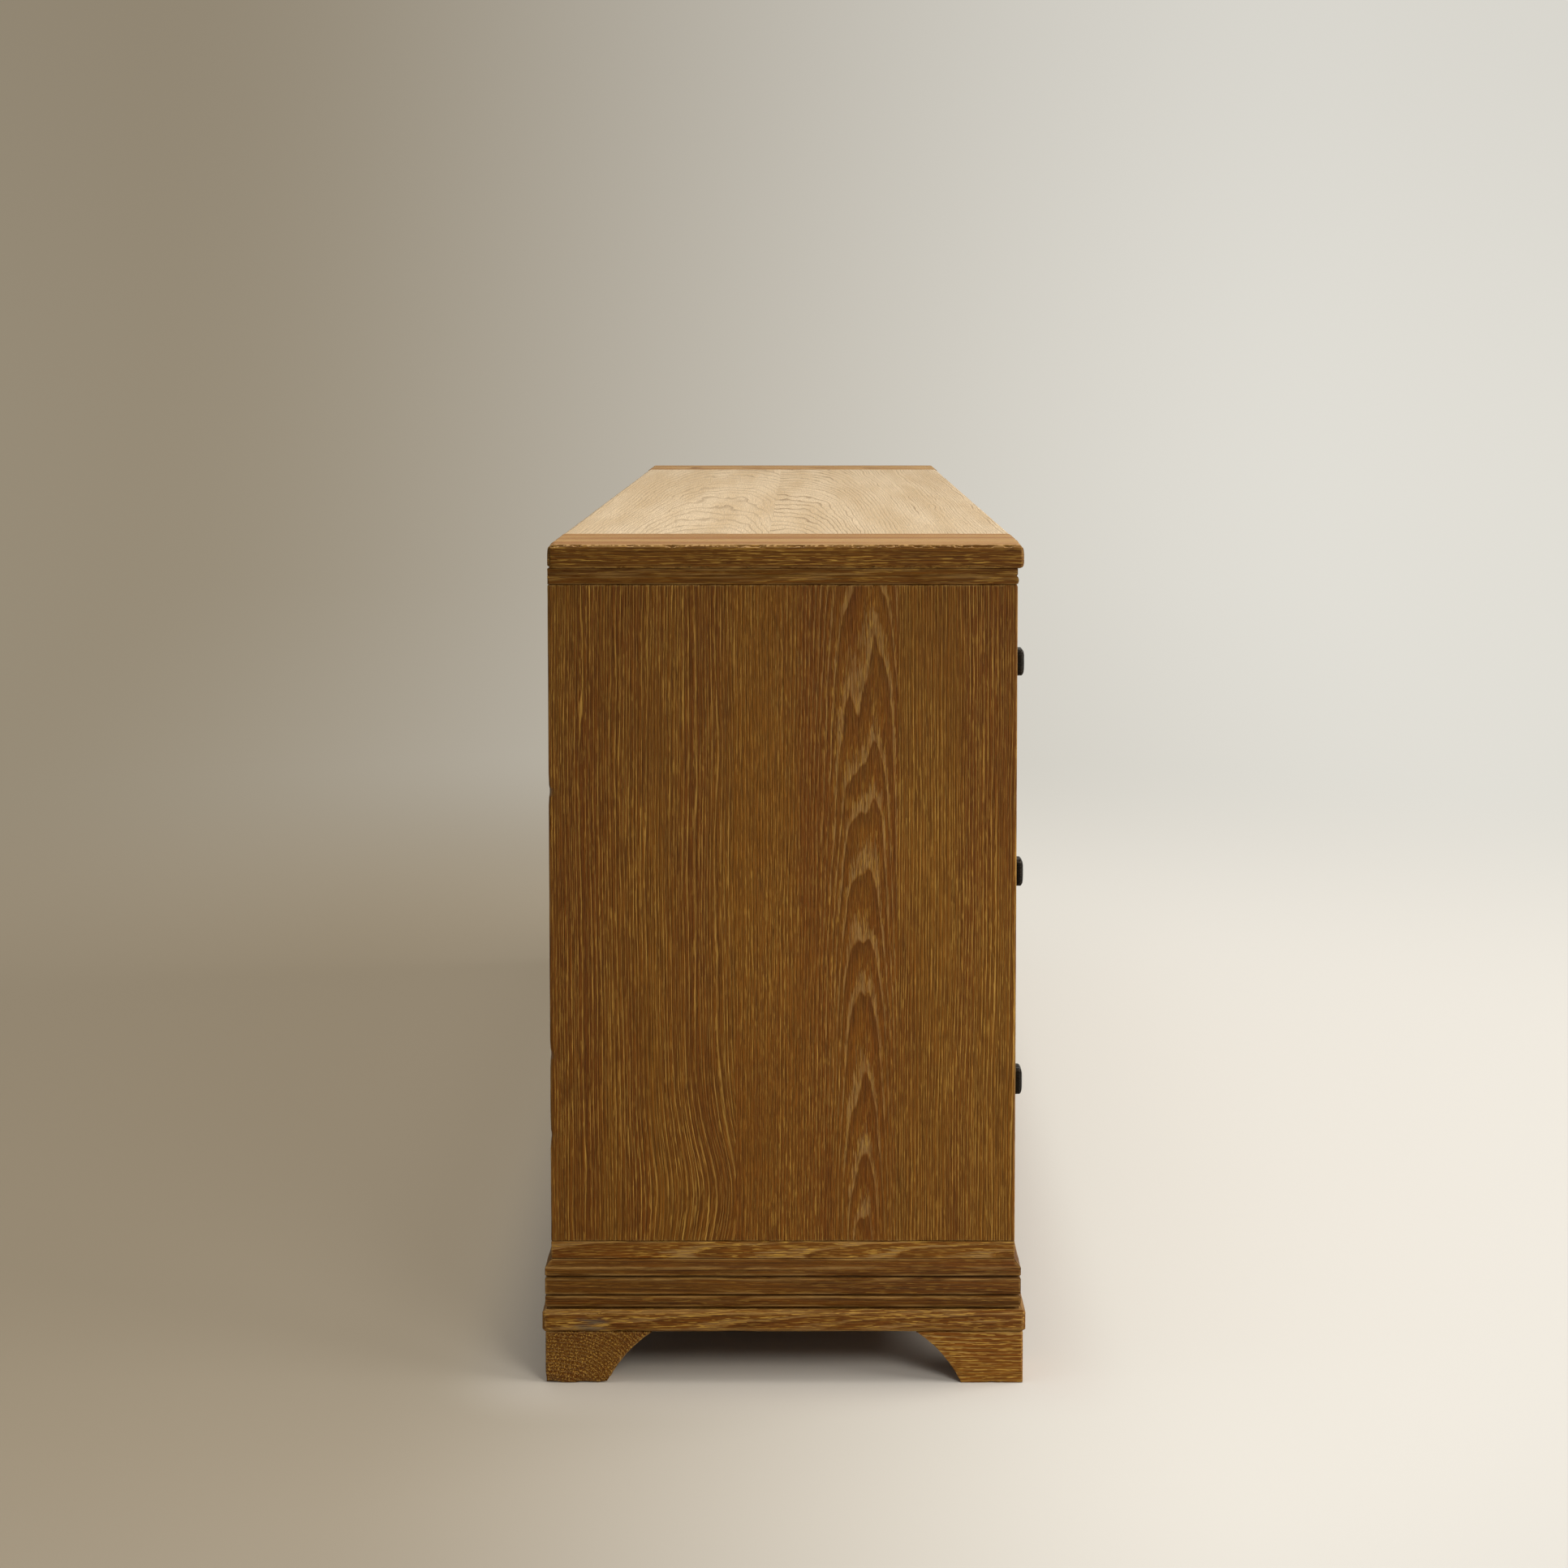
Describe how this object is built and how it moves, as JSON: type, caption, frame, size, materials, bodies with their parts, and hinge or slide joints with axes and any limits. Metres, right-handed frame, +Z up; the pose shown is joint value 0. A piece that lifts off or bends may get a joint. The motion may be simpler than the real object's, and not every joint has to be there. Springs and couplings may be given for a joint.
{
  "type": "sideboard",
  "caption": "Long oak sideboard on bracket feet, with sliding drawers at both ends and a cupboard with hinged doors and a shelf between them.",
  "frame": {"origin": "on the floor under the middle of the object's box", "axes": "+Z up, +X along the length, -Y out of the front with the drawers and doors"},
  "size_m": [2.008, 0.507, 0.8595],
  "materials": {
    "pale_oak": "bleached, matt",
    "red_oak": "worn, matt",
    "brown_oak": "limed brown, satin",
    "inside_oak": "raw, matt",
    "dark_iron": "blackened, satin",
    "aged_brass": "aged, satin"
  },
  "bodies": {
    "carcass": {"top_field": "pale_oak", "breadboard_left": "red_oak", "breadboard_right": "red_oak", "top_moulding_front": "brown_oak", "top_moulding_left": "brown_oak", "top_moulding_right": "brown_oak", "end_panel_left": "brown_oak", "end_panel_right": "brown_oak", "partition_left": "brown_oak", "partition_right": "brown_oak", "carcass_floor": "brown_oak", "back_panel": "inside_oak", "shelf": "inside_oak", "dust_board_left_middle": "brown_oak", "dust_board_left_upper": "brown_oak", "dust_board_right_middle": "brown_oak", "dust_board_right_upper": "brown_oak", "base_moulding_front": "brown_oak", "base_moulding_back": "brown_oak", "base_moulding_left": "brown_oak", "base_moulding_right": "brown_oak", "base_board": "brown_oak", "foot_front_left": "brown_oak", "foot_front_right": "brown_oak", "foot_back_left": "brown_oak", "foot_back_right": "brown_oak", "hinge_left_lower_fixed": "aged_brass", "hinge_left_upper_fixed": "aged_brass", "hinge_right_lower_fixed": "aged_brass", "hinge_right_upper_fixed": "aged_brass", "catch_left": "dark_iron", "catch_right": "dark_iron"},
    "drawer_left_lower": {"drawer_left_lower_front": "brown_oak", "drawer_left_lower_box": "inside_oak", "drawer_left_lower_knob": "dark_iron"},
    "drawer_left_middle": {"drawer_left_middle_front": "brown_oak", "drawer_left_middle_box": "inside_oak", "drawer_left_middle_knob": "dark_iron"},
    "drawer_left_upper": {"drawer_left_upper_front": "brown_oak", "drawer_left_upper_box": "inside_oak", "drawer_left_upper_knob": "dark_iron"},
    "drawer_right_lower": {"drawer_right_lower_front": "brown_oak", "drawer_right_lower_box": "inside_oak", "drawer_right_lower_knob": "dark_iron"},
    "drawer_right_middle": {"drawer_right_middle_front": "brown_oak", "drawer_right_middle_box": "inside_oak", "drawer_right_middle_knob": "dark_iron"},
    "drawer_right_upper": {"drawer_right_upper_front": "brown_oak", "drawer_right_upper_box": "inside_oak", "drawer_right_upper_knob": "dark_iron"},
    "door_left": {"door_left_frame": "brown_oak", "door_left_panel": "brown_oak", "door_left_knob": "dark_iron", "hinge_left_lower_moving": "aged_brass", "hinge_left_upper_moving": "aged_brass"},
    "door_right": {"door_right_frame": "brown_oak", "door_right_panel": "brown_oak", "door_right_knob": "dark_iron", "hinge_right_lower_moving": "aged_brass", "hinge_right_upper_moving": "aged_brass"}
  },
  "joints": [
    {"name": "drawer_left_lower_slide", "type": "slide", "parent": "carcass", "child": "drawer_left_lower", "axis": [0, -1, 0], "range_m": [0, 0.32]},
    {"name": "drawer_left_middle_slide", "type": "slide", "parent": "carcass", "child": "drawer_left_middle", "axis": [0, -1, 0], "range_m": [0, 0.32]},
    {"name": "drawer_left_upper_slide", "type": "slide", "parent": "carcass", "child": "drawer_left_upper", "axis": [0, -1, 0], "range_m": [0, 0.32]},
    {"name": "drawer_right_lower_slide", "type": "slide", "parent": "carcass", "child": "drawer_right_lower", "axis": [0, -1, 0], "range_m": [0, 0.32]},
    {"name": "drawer_right_middle_slide", "type": "slide", "parent": "carcass", "child": "drawer_right_middle", "axis": [0, -1, 0], "range_m": [0, 0.32]},
    {"name": "drawer_right_upper_slide", "type": "slide", "parent": "carcass", "child": "drawer_right_upper", "axis": [0, -1, 0], "range_m": [0, 0.32]},
    {"name": "door_left_swing", "type": "hinge", "parent": "carcass", "child": "door_left", "pos_m": [-0.55535, -0.234, 0.48225], "axis": [0, 0, -1], "range_deg": [0, 90]},
    {"name": "door_right_swing", "type": "hinge", "parent": "carcass", "child": "door_right", "pos_m": [0.55535, -0.234, 0.48225], "axis": [0, 0, 1], "range_deg": [0, 90]}
  ]
}
